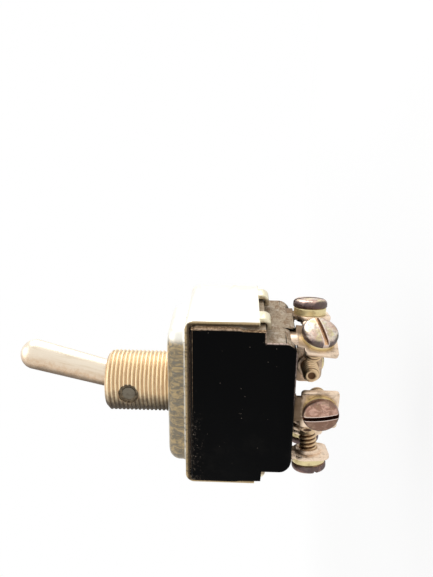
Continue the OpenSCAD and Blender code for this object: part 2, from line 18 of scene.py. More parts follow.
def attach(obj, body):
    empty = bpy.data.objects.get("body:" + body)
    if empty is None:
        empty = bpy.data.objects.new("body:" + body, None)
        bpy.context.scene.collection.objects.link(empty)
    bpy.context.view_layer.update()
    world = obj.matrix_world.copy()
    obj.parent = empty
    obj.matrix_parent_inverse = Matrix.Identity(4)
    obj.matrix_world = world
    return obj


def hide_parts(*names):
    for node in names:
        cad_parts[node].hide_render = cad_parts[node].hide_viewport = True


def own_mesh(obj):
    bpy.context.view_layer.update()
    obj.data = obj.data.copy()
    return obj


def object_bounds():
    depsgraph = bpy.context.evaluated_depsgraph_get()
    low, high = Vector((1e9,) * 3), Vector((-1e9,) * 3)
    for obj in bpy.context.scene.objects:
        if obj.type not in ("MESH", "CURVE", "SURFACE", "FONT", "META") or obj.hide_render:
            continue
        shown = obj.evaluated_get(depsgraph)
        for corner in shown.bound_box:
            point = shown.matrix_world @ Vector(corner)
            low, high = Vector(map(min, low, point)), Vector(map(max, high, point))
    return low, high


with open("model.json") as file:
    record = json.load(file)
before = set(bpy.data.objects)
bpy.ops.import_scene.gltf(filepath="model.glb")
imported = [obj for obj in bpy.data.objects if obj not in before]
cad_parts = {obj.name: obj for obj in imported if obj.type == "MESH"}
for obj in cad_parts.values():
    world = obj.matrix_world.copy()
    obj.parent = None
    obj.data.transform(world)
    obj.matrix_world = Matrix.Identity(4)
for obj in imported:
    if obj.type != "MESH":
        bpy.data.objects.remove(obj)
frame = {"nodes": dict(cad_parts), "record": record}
CAD_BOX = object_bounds()

bl_info = {
    "name": "Panel toggle switch",
    "version": (1, 0, 0),
    "blender": (4, 5, 0),
    "location": "3D View > Sidebar > Switch",
    "description": "Threads, screws, softened edges, finishes and a stage for a toggle switch",
    "category": "Object",
}

MM = 0.001
SMOOTH_ANGLE = 35.0

# Body: its narrow part lies behind the step, and its poles this far off the middle
BODY_LENGTH = 32.6
BODY_DEPTH = 20.4
NARROW_LENGTH = 27.6
BODY_STEP = -18.0
BODY_BACK = -23.7
POLE = 5.0

# Cover: the level of its flange and of its legs' ends, and half the pan's length
COVER_LENGTH = 34.5
COVER_WIDTH = 18.2
COVER_FLANGE = -3.5
LEG_END = -16.9
PAN_END = 14.6

# Bushing: its thread's ends, its bore's mouth, its neck, its flange with two flats under the
# cover, and the pin's hole with its recesses. PLAIN_CREST sets how pale its plain faces are,
# between the thread's roots and its crests, partly wear and partly painted light.
THREAD_RUN_IN = 0.3
BUSHING_CHAMFER = 0.75
MOUTH_CHAMFER = 0.25
NECK_INSET = 0.3
FLANGE_D = 13.4
FLANGE_FLATS = 11.7
FLANGE_TOP = -0.9
FLANGE_UNDER = -1.7
PIN_HOLE_D = 2.54
PIN_RECESS_D = 3.9
PIN_RECESS_DEPTH = 0.8
PLAIN_CREST = 0.4

# Lever: its pivot, its lean at rest in degrees, its ball and its stem
PIVOT = (0.0, 0.0, 7.7)
LEVER_LEAN = 14.9
BALL_R = 4.1
STEM_R = 1.6
STEM_END = -13.4
LEVER_BORE_R = 1.3
LEVER_BORE_REACH = 6

# Springs, from the lever's pivot: their upper seat, their lower end and how far that rises
SPRING_SEAT = -12.3
SPRING_LOW = -15.38
SPRING_TRAVEL = 0.6
SPRING_TURNS = 4
SPRING_GAP = 0.02

# Terminals: where their screws stand, and the thickness of their strips
END_X = 12.7
MID_Y = 8.5
END_SCREW_Z = -27.5
MID_SCREW_Z = -28.5
STRIP = 0.8

# Screws: the head's round edge and crown, how far in its underside ends, and the dished tip
HEAD_EDGE = 0.9
HEAD_CROWN = 0.25
HEAD_CHAMFER = 0.12
UNDERSIDE_INSET = 0.3
TIP_CHAMFER = 0.55
DISH_RIM = 0.85
DISH_DEPTH = 0.5

# Cup washers: their sheet, the round of their rim and the play round the screw
WASHER_SHEET = 0.45
WASHER_ROUND = 0.35
WASHER_PLAY = 0.1

# The level where the bent terminals turn, and each one's bend. row is the pole, -1 in front,
# and end is the end along X. turn, lean inwards and slot, the turn of the screw's slot, are
# in degrees, shift is along the strip's width and rise lifts the screw. flat is a flattened
# washer, and brown tells how far the screw has gone brown, from 0 to 1.
BEND = BODY_BACK - 0.3
Place = namedtuple("Place", "row end turn lean shift rise flat slot brown")
PLACES = {
    "back_right": Place(1, 1, 12.5, 0, 0, 0.25, False, 8, 0.4),
    "front_right": Place(-1, 1, -22, 7, 0, -0.3, True, -76, 0.1),
    "back_middle": Place(1, 0, 0, 0, 0, 0.2, True, 40, 0.6),
    "front_middle": Place(-1, 0, -4.5, 0, 0.35, 0, True, 8, 1.0),
    "back_left": Place(1, -1, 6, 0, 0, 0, False, 25, 0.6),
    "front_left": Place(-1, -1, 15, 4, 0, 0, False, 70, 0.7),
}

# Camera: its place, its turn in degrees and its focal length
EYE = (60.79, -105.83, -12.46)
EYE_TURN = (144.904, 87.753, 75.987)
FOCAL_LENGTH = 37.686

# Square lamps that face the origin: place and side. The floor reaches this far each way.
KEY_LAMP = ((300, 220, 80), 300)
TOP_LAMP = ((100, -50, 420), 400)
FLOOR_REACH = 6000


# ---- Settings ----


def length(label, text, default, high=100):
    """A length property in metres, whose default and upper end are given in millimetres."""
    return bpy.props.FloatProperty(
        name=label, description=text, default=default * MM, min=0.0, max=high * MM,
        precision=5, subtype="DISTANCE", unit="LENGTH")


def colour(label, text, default):
    """A colour property."""
    return bpy.props.FloatVectorProperty(
        name=label, description=text, default=default, size=3, min=0.0, max=1.0, subtype="COLOR")


def amount(label, text, default, high):
    """A plain number property."""
    return bpy.props.FloatProperty(
        name=label, description=text, default=default, min=0.0, max=high)


class SwitchSizes(bpy.types.PropertyGroup):
    """Sizes of the detailed pieces"""

    bushing_d: length("Bushing diameter", "Outside diameter of the bushing's thread", 11.906)
    bushing_len: length("Bushing length", "Length of the bushing above the panel face", 12.4)
    bushing_bore: length("Bushing bore", "Diameter of the bushing's bore", 8.6)
    bushing_pitch: length("Bushing pitch", "Pitch of the bushing's thread", 0.794)
    bushing_thread: length("Bushing thread depth", "Depth of the bushing's thread", 0.3)
    tip_d: length("Lever tip", "Diameter of the lever near its tip", 5.9)
    neck_d: length("Lever neck", "Diameter of the lever where it leaves its ball", 5.0)
    reach: length("Lever reach", "Distance from the pivot to the lever's tip", 22.8)
    screw_d: length("Screw diameter", "Outside diameter of the screws' thread", 3.5)
    screw_len: length("Screw length", "Length of a screw under its head", 6.35)
    screw_pitch: length("Screw pitch", "Pitch of the screws' thread", 0.794)
    screw_thread: length("Screw thread depth", "Depth of the screws' thread", 0.36)
    head_d: length("Head diameter", "Diameter of the screws' heads", 6.7)
    head_h: length("Head height", "Height of the screws' heads", 1.8)
    slot_w: length("Slot width", "Width of the screwdriver slots", 0.8)
    slot_depth: length("Slot depth", "Depth of the screwdriver slots", 0.9)
    washer_d: length("Washer diameter", "Outside diameter of the cup washers", 6.4)
    washer_h: length("Washer height", "Height of the cup washers", 1.45)
    spring_wire: length("Spring wire", "Thickness of the springs' wire", 0.36)
    spring_r: length("Spring radius", "Radius of the springs' coils", 0.92)
    flat_washer_h: length("Flat washer height", "Height of the flattened cup washers", 0.8)
    soft_edge: length("Sheet edge", "Radius of the softened edges of sheet pieces", 0.12)


class SwitchFinishes(bpy.types.PropertyGroup):
    """Colours and roughness of the finishes"""

    plating: colour("Plating", "Dull plating of the cover", (0.9, 0.88, 0.8))
    tarnish: colour("Tarnish", "Olive tarnish on the plating", (0.52, 0.38, 0.19))
    # This tint is partly an oxide layer and partly painted shade on the pan's wall.
    film: colour("Film", "Dark oxide film on the pan's wall", (0.115, 0.087, 0.045))
    grime: colour("Grime", "Dark dirt in corners", (0.06, 0.04, 0.025))
    phenolic: colour("Phenolic", "Black moulding", (0.0016, 0.0017, 0.0019))
    dust: colour("Dust", "Grey-tan dust on the moulding", (0.45, 0.36, 0.26))
    # The crest and root tints are partly wear and partly painted light and shade on the thread.
    thread_crest: colour("Thread crest", "Worn crests of the bushing's thread", (0.93, 0.75, 0.49))
    thread_root: colour("Thread root", "Dark roots of the bushing's thread", (0.62, 0.44, 0.27))
    lever_plate: colour("Lever plating", "Warm plating of the lever", (0.9, 0.79, 0.64))
    terminal: colour("Terminal brass", "Dull brass strip", (0.95, 0.76, 0.58))
    patina: colour("Patina", "Brown patina on the brass", (0.17, 0.1, 0.05))
    screw: colour("Screw plating", "Plating of the screws", (0.76, 0.7, 0.6))
    copper: colour("Copper tint", "Worn pink patches on the screws", (0.72, 0.43, 0.33))
    # This tint is painted shade on the rim of the screws' heads.
    stain: colour("Stain", "Purple-grey stain on the screws", (0.09, 0.065, 0.07))
    washer: colour("Washer brass", "Yellow brass of the washers", (0.8, 0.68, 0.38))


class SwitchStage(bpy.types.PropertyGroup):
    """Light and floor"""

    floor_drop: length("Floor drop", "Distance of the floor below the terminals", 20, 1000)
    key: amount("Key lamp", "Power of the lamp at the +X end, in watts", 0.9, 20)
    top: amount("Top lamp", "Power of the lamp above the lever, in watts", 0.5, 20)
    ambient: amount("Ambient", "Strength of the soft light from all round", 0.55, 2)


# ---- Shader maths ----


def math_node(operation):
    """A method of Value that adds a Math node."""
    return lambda value, *others: value.finish.maths(operation, value, *others)


class Value:
    """A number in a node tree. Python's operators on it add Math nodes."""

    def __init__(self, finish, source):
        self.finish = finish
        self.source = source

    __add__ = __radd__ = math_node("ADD")
    __mul__ = __rmul__ = math_node("MULTIPLY")
    __sub__ = math_node("SUBTRACT")
    __pow__ = math_node("POWER")
    __abs__ = math_node("ABSOLUTE")
    larger = math_node("MAXIMUM")
    smaller = math_node("MINIMUM")

    def __rsub__(self, other):
        return self.finish.maths("SUBTRACT", other, self)

    def rise(self, low, high):
        """0 below low, 1 above high and smooth between; low above high turns it round."""
        node = self.finish.node(
            "ShaderNodeMapRange", {"interpolation_type": "SMOOTHSTEP"},
            {"Value": self, "From Min": min(low, high), "From Max": max(low, high),
             "To Min": float(low > high), "To Max": float(low <= high)})
        return Value(self.finish, node.outputs["Result"])


class Finish:
    """A procedural material: one shader, fed by nodes that work in millimetres."""

    def __init__(self, name, tree=None):
        self.material = None
        if tree is None:
            self.material = bpy.data.materials.new(name)
            self.material.use_nodes = True
            tree = self.material.node_tree
        self.tree = tree
        self.tree.nodes.clear()
        self.base = None

    def node(self, kind, settings=None, inputs=None):
        """Adds a node, sets its settings and then fills its sockets with values or links."""
        made = self.tree.nodes.new(kind)
        for name, value in (settings or {}).items():
            setattr(made, name, value)
        for name, value in (inputs or {}).items():
            socket = made.inputs[name]
            if isinstance(value, Value):
                value = value.source
            if isinstance(value, bpy.types.NodeSocket):
                self.tree.links.new(value, socket)
            elif socket.type == "RGBA":
                socket.default_value = (*value, 1.0)
            else:
                socket.default_value = value
        return made

    def maths(self, operation, *terms):
        node = self.node("ShaderNodeMath", {"operation": operation}, dict(enumerate(terms)))
        return Value(self, node.outputs[0])

    def place(self):
        """Object coordinates in millimetres."""
        where = self.node("ShaderNodeTexCoord").outputs["Object"]
        return self.node("ShaderNodeVectorMath", {"operation": "SCALE"},
                         {"Vector": where, "Scale": 1 / MM}).outputs[0]

    def parts(self, vector):
        """The three numbers of a vector."""
        node = self.node("ShaderNodeSeparateXYZ", None, {"Vector": vector})
        return [Value(self, node.outputs[i]) for i in range(3)]

    def facing(self):
        """The three numbers of the surface's normal, in the object's own frame."""
        return self.parts(self.node("ShaderNodeTexCoord").outputs["Normal"])

    def attribute(self, name):
        node = self.node("ShaderNodeAttribute", {"attribute_name": name})
        return Value(self, node.outputs["Fac"])

    def mapped(self, vector, scale=(1, 1, 1), shift=(0, 0, 0), turn=(0, 0, 0)):
        turn = [math.radians(a) for a in turn]
        return self.node("ShaderNodeMapping", {"vector_type": "POINT"},
                         {"Vector": vector, "Location": shift, "Rotation": turn,
                          "Scale": scale}).outputs[0]

    def noise(self, vector, scale, detail=3.0, rough=0.55, bend=0.0):
        node = self.node("ShaderNodeTexNoise", {"noise_dimensions": "3D"},
                         {"Vector": vector, "Scale": scale, "Detail": detail,
                          "Roughness": rough, "Distortion": bend})
        return Value(self, node.outputs[0])

    def specks(self, vector, scale, size, share):
        """Round specks: cells whose middle is nearer than size, in a share of the cells."""
        node = self.node("ShaderNodeTexVoronoi", {"feature": "F1"},
                         {"Vector": vector, "Scale": scale, "Randomness": 1.0})
        near = Value(self, node.outputs["Distance"]).rise(size, size * 0.6)
        chance = self.parts(node.outputs["Color"])[0]
        return near * chance.rise(share, share * 0.9)

    def mix(self, share, first, second):
        """A colour between first and second. Sockets 6 and 7 are the two colours."""
        return self.node("ShaderNodeMix", {"data_type": "RGBA"},
                         {0: share, 6: first, 7: second}).outputs[2]

    def paint(self, share, tint):
        """Lays a share of a tint over the base colour."""
        self.base = self.mix(share, self.base, tint)

    def bump(self, height, distance):
        """A relief whose height of 1 stands distance millimetres proud."""
        inputs = {"Height": height, "Distance": distance * MM, "Strength": 1.0}
        return self.node("ShaderNodeBump", None, inputs).outputs[0]

    def seen(self):
        """1 for camera, glossy and transmission rays, and 0 for all others."""
        ray = self.node("ShaderNodeLightPath")
        return (Value(self, ray.outputs["Is Camera Ray"])
                + Value(self, ray.outputs["Is Glossy Ray"])
                + Value(self, ray.outputs["Is Transmission Ray"])).smaller(1.0)

    def surface(self, **sockets):
        """Ends the material in one Principled shader with the base colour."""
        names = {"rough": "Roughness", "metal": "Metallic", "normal": "Normal", "ior": "IOR"}
        inputs = {names[k]: v for k, v in sockets.items()}
        shader = self.node("ShaderNodeBsdfPrincipled", None, {"Base Color": self.base, **inputs})
        self.node("ShaderNodeOutputMaterial", None, {"Surface": shader.outputs[0]})
        return self.material


# ---- Finishes ----


def plating_finish(tints):
    """Dull plating: faint smudges, an olive pan wall that is partly an oxide layer and partly
    painted shade, brown cut edges and grime at the foot.
    """
    f = Finish("dull_plating")
    where = f.place()
    x, y, z = f.parts(where)
    side = f.facing()
    smudge = f.noise(where, 0.35, 4, 0.6, 0.6)
    grain = f.noise(f.mapped(where, (1, 1, 5)), 2.4, 3)
    f.base = f.mix(smudge.rise(0.5, 0.75) * 0.3, tints.plating, tints.tarnish)
    f.paint(grain.rise(0.55, 0.8) * 0.2, tints.tarnish)
    # Wall of the pan but for its +X end: an olive oxide layer darkened into painted shade, with
    # streaks and brighter scuffs
    wall = side[2].rise(1.0, 0.82) * z.rise(COVER_FLANGE + 0.05, COVER_FLANGE + 0.4)
    wall = wall * x.rise(PAN_END - 1.4, PAN_END - 3)
    streak = f.noise(f.mapped(where, (1, 1, 0.35), turn=(0, 8, 0)), 1.1, 5, 0.7, 1.0)
    film = f.mix(streak.rise(0.4, 0.65), tints.film, tints.tarnish)
    f.paint((wall * (0.92 + (streak - 0.5) * 0.5)).smaller(1.0), film)
    scuff = f.noise(f.mapped(where, (1.6, 1, 0.6), turn=(0, 25, 0)), 2.2, 5, 0.75, 1.4)
    f.paint(wall * scuff.rise(0.6, 0.7) * 0.3, tints.plating)
    # Cut edges of the sheet: olive outside, brown inside
    edge = abs(y).rise(COVER_WIDTH / 2 - 0.06, COVER_WIDTH / 2 - 0.01)
    depth = (COVER_LENGTH / 2 - abs(x)).smaller(COVER_FLANGE - z)
    f.paint(edge * 0.9, tints.tarnish)
    f.paint(edge * (depth + (grain - 0.5) * 0.4).rise(0.25, 0.6) * 0.9, tints.grime)
    # Bright hollow round the pan's foot, with dirt in it
    foot = z.rise(COVER_FLANGE + 0.6, COVER_FLANGE + 0.05)
    foot = foot * abs(x).rise(PAN_END + 1.2, PAN_END + 0.4)
    dirt_and_shade = f.noise(where, 1.3, 5, 0.7)
    f.paint(foot * dirt_and_shade.rise(0.5, 0.62) * 0.7, tints.grime)
    # Crimp tabs: yellowed, and brown on their folded-under part, which is patina and painted shade
    tab = z.rise(LEG_END + 0.3, LEG_END - 0.1)
    f.paint(tab * 0.7, (0.86, 0.76, 0.5))
    f.paint(tab * abs(x).rise(16.7, 16.2) * 0.7, tints.patina)
    spots = f.specks(where, 1.7, 0.13, 0.25)
    f.paint(spots * 0.5, tints.grime)
    scratch = f.noise(f.mapped(where, (0.3, 6, 6), turn=(0, 20, 30)), 2.0, 2)
    rough = 0.34 + smudge * 0.15 + foot * 0.15 + edge * 0.2
    height = f.noise(where, 0.8, 2) * 0.5 + scratch * 0.06 + dirt_and_shade * 0.05
    metal = 1.0 - (foot * dirt_and_shade.rise(0.42, 0.62) * 0.6).larger(wall * 0.6)
    return f.surface(rough=rough, metal=metal, normal=f.bump(height, 0.06))


def phenolic_finish(tints):
    """Black moulding: dull sheen, specks, dusty ends with brown streaks, and pale edges towards +X
    that are partly wear and partly painted highlight.
    """
    f = Finish("black_phenolic")
    where = f.place()
    x, y, z = f.parts(where)
    side = f.facing()
    cloud = f.noise(where, 0.25, 4, 0.6)
    fine = f.noise(where, 2.2, 5, 0.7)
    f.base = f.mix(cloud.rise(0.45, 0.75) * x.rise(4, -12) * 0.6, tints.phenolic,
                 (0.007, 0.0065, 0.006))
    ends = abs(side[0]).rise(0.55, 0.8)
    blot = f.noise(where, 0.55, 5, 0.7, 0.4)
    f.paint(ends * (0.8 + (fine - 0.5) * 1.2), tints.dust)
    streak = f.noise(f.mapped(where, (1, 0.5, 1.2), shift=(9, 3, 1)), 0.9, 5, 0.7)
    f.paint(ends * streak.rise(0.46, 0.6) * 0.7, (0.2, 0.12, 0.065))
    f.paint(ends * blot.rise(0.5, 0.66) * 0.45, (0.72, 0.64, 0.54))
    f.paint(ends * fine.rise(0.58, 0.7) * 0.6, tints.phenolic)
    # Rusty strip of the ends beside the cover's legs
    strip = ends * abs(y).rise(COVER_WIDTH / 2 - 0.1, COVER_WIDTH / 2 + 0.1)
    strip = strip * z.rise(BODY_STEP - 0.3, BODY_STEP + 0.1)
    rust = f.mix(fine.rise(0.46, 0.6), (0.13, 0.075, 0.04), (0.5, 0.34, 0.2))
    f.paint(strip * 0.9, rust)
    # Pale edges towards +X, partly wear and partly painted highlight: both coordinates inside the
    # rounding of the edge
    across = abs(y).rise(BODY_DEPTH / 2 - 0.42, BODY_DEPTH / 2 - 0.12)
    wide = abs(x).rise(BODY_LENGTH / 2 - 0.4, BODY_LENGTH / 2 - 0.15)
    wide = wide * z.rise(BODY_STEP - 0.2, BODY_STEP + 0.2)
    step = z.rise(BODY_STEP + 0.3, BODY_STEP) * z.rise(BODY_STEP - 0.15, BODY_STEP)
    narrow = abs(x).rise(NARROW_LENGTH / 2 - 0.35, NARROW_LENGTH / 2 - 0.1)
    narrow = narrow * z.rise(BODY_STEP + 0.2, BODY_STEP - 0.2)
    back = z.rise(BODY_BACK + 0.35, BODY_BACK + 0.1) * x.rise(-2, 6) * 0.5
    step = step * abs(x).rise(NARROW_LENGTH / 2 - 0.1, NARROW_LENGTH / 2 + 0.1)
    worn = across * wide.larger(narrow).larger(step).larger(back)
    rubbed = f.mix(z.rise(BODY_STEP + 0.4, BODY_STEP - 0.4), (0.5, 0.36, 0.25), (0.78, 0.6, 0.52))
    f.paint(worn * (0.25 + fine.rise(0.38, 0.6) * 0.75) * x.rise(-8, 6), rubbed)
    # Pale specks, denser beside the flange
    near_flange = z.rise(-7.5, -4.8) * x.rise(2, -6)
    pale = f.specks(where, 1.1, 0.09, 0.3)
    pale = pale.larger(f.specks(where, 1.6, 0.22, 0.35) * near_flange)
    pale = pale.larger(near_flange * fine.rise(0.55, 0.7) * 0.7)
    f.paint(pale * 0.55, (0.34, 0.28, 0.23))
    rough = 0.45 + fine * 0.15 + ends * 0.2
    height = fine * 0.3 + cloud * 0.7
    return f.surface(rough=rough, normal=f.bump(height, 0.03), ior=1.115)


def thread_finish(tints):
    """Worn plating over brass on the bushing: pale crests and tan roots, partly wear and partly
    painted light and shade, and painted shade on the side away from +X.
    """
    f = Finish("worn_thread")
    where = f.place()
    side = f.facing()
    crest = f.attribute("crest")
    wear = f.noise(where, 0.5, 4, 0.6)
    fine = f.noise(where, 3.0, 3)
    # The mix from tan roots to pale crests is partly wear and partly painted light and shade on the
    # thread.
    lit = (crest + (wear - 0.5) * 0.9 + (fine - 0.5) * 0.4).rise(0.05, 0.8)
    f.base = f.mix(lit, tints.thread_root, tints.thread_crest)
    f.paint(wear.rise(0.5, 0.68) * 0.35, (0.6, 0.42, 0.27))
    # Painted shade: brown to near black on the side that faces away from +X.
    under = (side[0] + (wear - 0.5) * 0.6).rise(0.15, -0.45)
    f.paint(under * 0.95, (0.05, 0.032, 0.018))
    # The pin's hole and its recesses: dark brown in ragged patches, painted shade with some grime
    recess = f.attribute("inside")
    dirt_and_shade = recess * (0.8 + (f.noise(where, 1.4, 4, 0.7) - 0.5) * 1.2)
    f.paint(dirt_and_shade, (0.05, 0.03, 0.015))
    rough = 0.42 - lit * 0.08 + fine * 0.1 + (recess * 0.3).larger(under * 0.25)
    metal = 0.97 - (recess * 0.6).larger(under * 0.6)
    return f.surface(rough=rough, metal=metal, normal=f.bump(fine, 0.02))


def lever_finish(tints):
    """Warm satin plating with faint streaks along the lever, and painted shade on the side away
    from +X: brown, then dark.
    """
    f = Finish("lever_plating")
    along = f.mapped(f.place(), turn=(0, -LEVER_LEAN, 0))
    side = f.facing()
    streak = f.noise(f.mapped(along, (2.2, 2.2, 0.16)), 1.0, 4, 0.6)
    cloud = f.noise(along, 0.35, 3)
    fine = f.noise(along, 1.6, 4, 0.65)
    f.base = f.mix(streak.rise(0.45, 0.75) * 0.3, tints.lever_plate, tints.tarnish)
    # Painted shade: warm brown on the side that faces away from +X.
    under = (side[0] + (cloud - 0.5) * 0.5).rise(0.7, -0.2)
    f.paint(under * (0.5 + fine.rise(0.4, 0.65) * 0.3), (0.6, 0.38, 0.21))
    # Painted shade: near black further round, away from +X.
    deep_shade = (side[0] + (cloud - 0.5) * 0.5).rise(0.0, -0.6)
    f.paint(deep_shade * 0.85, (0.13, 0.085, 0.05))
    rough = 0.24 + cloud * 0.18 + deep_shade * 0.25
    height = streak * 0.3 + cloud * 0.7
    return f.surface(rough=rough, metal=1.0 - deep_shade * 0.65,
                     normal=f.bump(height, 0.03))


def strip_finish(tints):
    """Dull brass strip: cream where rubbed, brown where it has tarnished, and dark at the necks
    next to the body, patina with painted shade.
    """
    f = Finish("dull_strip")
    where = f.place()
    x, y, z = f.parts(where)
    cloud = f.noise(where, 0.45, 5, 0.65, 0.5)
    fine = f.noise(where, 3.0, 3)
    middle = abs(x).rise(6.5, 4.5)
    back = middle * y.rise(-4, 4)
    f.base = f.mix((cloud + middle * 0.05 + back * 0.12).rise(0.5, 0.7) * 0.5,
                 tints.terminal, tints.patina)
    f.paint(fine.rise(0.55, 0.8) * 0.2, tints.patina)
    # The necks next to the body are darkened, patina with painted shade, most on the middle
    # terminals and on the end terminals behind y = -5 mm.
    hidden = y.rise(-5.6, -4.4) * (1 - middle) * 0.75
    neck = (z + (cloud - 0.5) * 2).rise(BEND - 2, BEND - 1) * (0.15 + middle * 0.75 + hidden)
    f.paint(neck, (0.16, 0.1, 0.055))
    rough = 0.36 + cloud * 0.2 + neck * 0.2
    return f.surface(rough=rough, metal=0.95,
                     normal=f.bump(cloud * 0.6 + fine * 0.2, 0.05))


def screw_finish(tints):
    """Tarnished screws: pale plating, pink and yellow patches, and painted shade on the head's rim,
    in the slot, on one half of the brownest head and in the thread's roots.

    The attributes give the place on a screw: rim is 0 to 1 from the head's middle to its
    edge and -1 below the head, slot is the distance from the slot's middle in millimetres,
    less than 0 on one side, and inside is 1 on the slot's walls and 2 on its floor. crest is
    0 in the thread's roots and 1 on its crests, and brown is the same all over a screw."""
    f = Finish("tarnished_screw")
    where = f.place()
    rim = f.attribute("rim")
    crest = f.attribute("crest")
    brown = f.attribute("brown")
    inside = f.attribute("inside")
    head = rim.rise(-0.6, -0.3)
    cloud = f.noise(where, 0.42, 4, 0.6, 0.8)
    other = f.noise(f.mapped(where, shift=(31, 7, 5)), 0.55, 4, 0.6, 0.6)
    third = f.noise(f.mapped(where, shift=(3, 17, 45)), 0.8, 4, 0.6, 0.6)
    fine = f.noise(where, 2.6, 4)
    worn = (cloud + (brown - 0.2) * 0.2).rise(0.41, 0.56)
    slot = f.attribute("slot")
    f.base = f.mix(worn * (0.5 + brown * 0.45), tints.screw, tints.copper)
    f.paint(other.rise(0.48, 0.6) * 0.7 * (1 - brown * 0.6), (0.74, 0.68, 0.33))
    spread = (third + brown * brown * 0.1).rise(0.48, 0.62)
    f.paint(spread * (0.25 + brown * 0.5), (0.26, 0.12, 0.075))
    f.paint(fine.rise(0.52, 0.62) * 0.35, (0.3, 0.2, 0.17))
    turned_brown = brown.rise(0.8, 1.0)
    f.paint(turned_brown * 0.2, (0.3, 0.2, 0.15))
    # Painted shade: the brownest screw's head is darker on the side of its slot that faces -X.
    f.paint(turned_brown * slot.rise(0.3, 0.7) * 0.65, (0.16, 0.095, 0.065))
    # Painted shade: dark purple-grey round the rim of the head, weaker on the brownest screw.
    shade = (rim + (other - 0.5) * 0.35 + (fine - 0.5) * 0.06).rise(0.82, 0.98)
    shade = shade * (1 - turned_brown * 0.65)
    f.paint(head * shade * 0.9, tints.stain)
    # Worn lips of the slot, its walls dark with painted shade, and its floor, golden on the paler
    # screws and dark with painted shade on the others
    lip = head * abs(slot).rise(0.6, 0.5) * rim.rise(0.98, 0.9).larger(brown.rise(0.2, 0.1))
    f.paint(lip * 0.7, (0.95, 0.8, 0.72))
    bed = f.mix(brown.rise(0.15, 0.4), (0.95, 0.62, 0.36), (0.1, 0.04, 0.022))
    walled = f.mix(inside.rise(1.4, 1.6), (0.1, 0.045, 0.028), bed)
    f.paint(inside.rise(0.4, 0.6), walled)
    # Thread below the head: golden crests, and brown roots darkened with painted shade
    thread = f.mix(crest.rise(0.1, 0.75), (0.14, 0.075, 0.04), (0.78, 0.58, 0.36))
    f.paint(1 - head, thread)
    rough = 0.28 + fine * 0.15 + shade * 0.1 + (1 - head) * 0.1
    return f.surface(rough=rough, metal=0.97,
                     normal=f.bump(cloud * 0.7 + fine * 0.15, 0.12))


def washer_finish(tints):
    """Pale yellow brass sheet, a little dulled."""
    f = Finish("yellow_brass")
    where = f.place()
    cloud = f.noise(where, 0.8, 4, 0.6)
    f.base = f.mix(cloud.rise(0.5, 0.75) * 0.4, tints.washer, tints.patina)
    return f.surface(rough=0.3 + cloud * 0.2, metal=0.95,
                     normal=f.bump(cloud, 0.04))


def plain_metal_finish(name, tint, dark, rough, scale):
    """A metal with soft blotches of a darker tint."""
    f = Finish(name)
    where = f.place()
    cloud = f.noise(where, scale, 4, 0.6)
    f.base = f.mix(cloud.rise(0.4, 0.75) * 0.6, tint, dark)
    return f.surface(rough=rough + cloud * 0.2, metal=0.95,
                     normal=f.bump(cloud, 0.02))


def plain_dull_finish(name, tint, dark, rough, scale):
    """A dull moulding or fibre with soft blotches and a fine grain."""
    f = Finish(name)
    where = f.place()
    cloud = f.noise(where, scale, 4, 0.6)
    fine = f.noise(where, scale * 8, 2)
    f.base = f.mix(cloud.rise(0.35, 0.75), tint, dark)
    return f.surface(rough=rough + fine * 0.15, normal=f.bump(fine, 0.02))


# ---- Surfaces ----


def grid_mesh(name, points, smooth_angle=SMOOTH_ANGLE, loop_rows=False, **fields):
    """A mesh from a grid of points in millimetres, shape (rows, columns, 3).

    Columns close on themselves. Rows close too if loop_rows is true. Each field is an
    array of the grid's shape and is kept as a point attribute."""
    rows, columns = points.shape[:2]
    number = np.arange(rows * columns).reshape(rows, columns)
    right = np.roll(number, -1, axis=1)
    if loop_rows:
        lower, lower_right = np.roll(number, -1, axis=0), np.roll(right, -1, axis=0)
    else:
        lower, lower_right = number[1:], right[1:]
        number, right = number[:-1], right[:-1]
    quads = np.stack([number, right, lower_right, lower], axis=-1).reshape(-1, 4)
    mesh = bpy.data.meshes.new(name)
    mesh.from_pydata((points.reshape(-1, 3) * MM).tolist(), [], quads.tolist())
    for field, values in fields.items():
        layer = mesh.attributes.new(field, "FLOAT", "POINT")
        layer.data.foreach_set("value", np.ascontiguousarray(values, dtype=np.float32).ravel())
    finish_mesh(mesh, smooth_angle)
    return mesh


def revolved(radius, height, sides):
    """Points of a profile turned about Z: (r cos a, r sin a, h). radius may hold a value for
    each angle."""
    angle = np.linspace(0, 2 * np.pi, sides, endpoint=False)
    radius = np.broadcast_to(np.asarray(radius, float).reshape(len(height), -1),
                             (len(height), sides))
    height = np.broadcast_to(np.asarray(height, float)[:, None], radius.shape)
    return np.stack([radius * np.cos(angle), radius * np.sin(angle), height], axis=-1)


def thread_wave(height, sides, pitch):
    """Depth of a thread from 0 on its crest to 1 in its root: a clipped triangle wave of
    (height / pitch - angle / full turn)."""
    turn = np.linspace(0, 1, sides, endpoint=False)
    phase = np.mod(height[:, None] / pitch - turn[None, :], 1.0)
    wave = np.clip((1 - abs(2 * phase - 1) - 0.12) / 0.82, 0, 1)
    return wave * wave * (3 - 2 * wave) * 0.5 + wave * 0.5


def keep_field(mesh, name, values, domain="POINT"):
    """Keeps numbers on a mesh, one for each point or face, or the same for all of them."""
    found = mesh.attributes.get(name)
    if found:
        mesh.attributes.remove(found)
    field = mesh.attributes.new(name, "FLOAT", domain)
    values = np.broadcast_to(values, len(field.data))
    field.data.foreach_set("value", np.ascontiguousarray(values, dtype=np.float32))


def points_in(mesh, place):
    """A mesh's points in millimetres, in the frame that place stands for."""
    flat = np.empty(len(mesh.vertices) * 3)
    mesh.vertices.foreach_get("co", flat)
    back = np.array(place.inverted())
    return (flat.reshape(-1, 3) @ back[:3, :3].T + back[:3, 3]) / MM


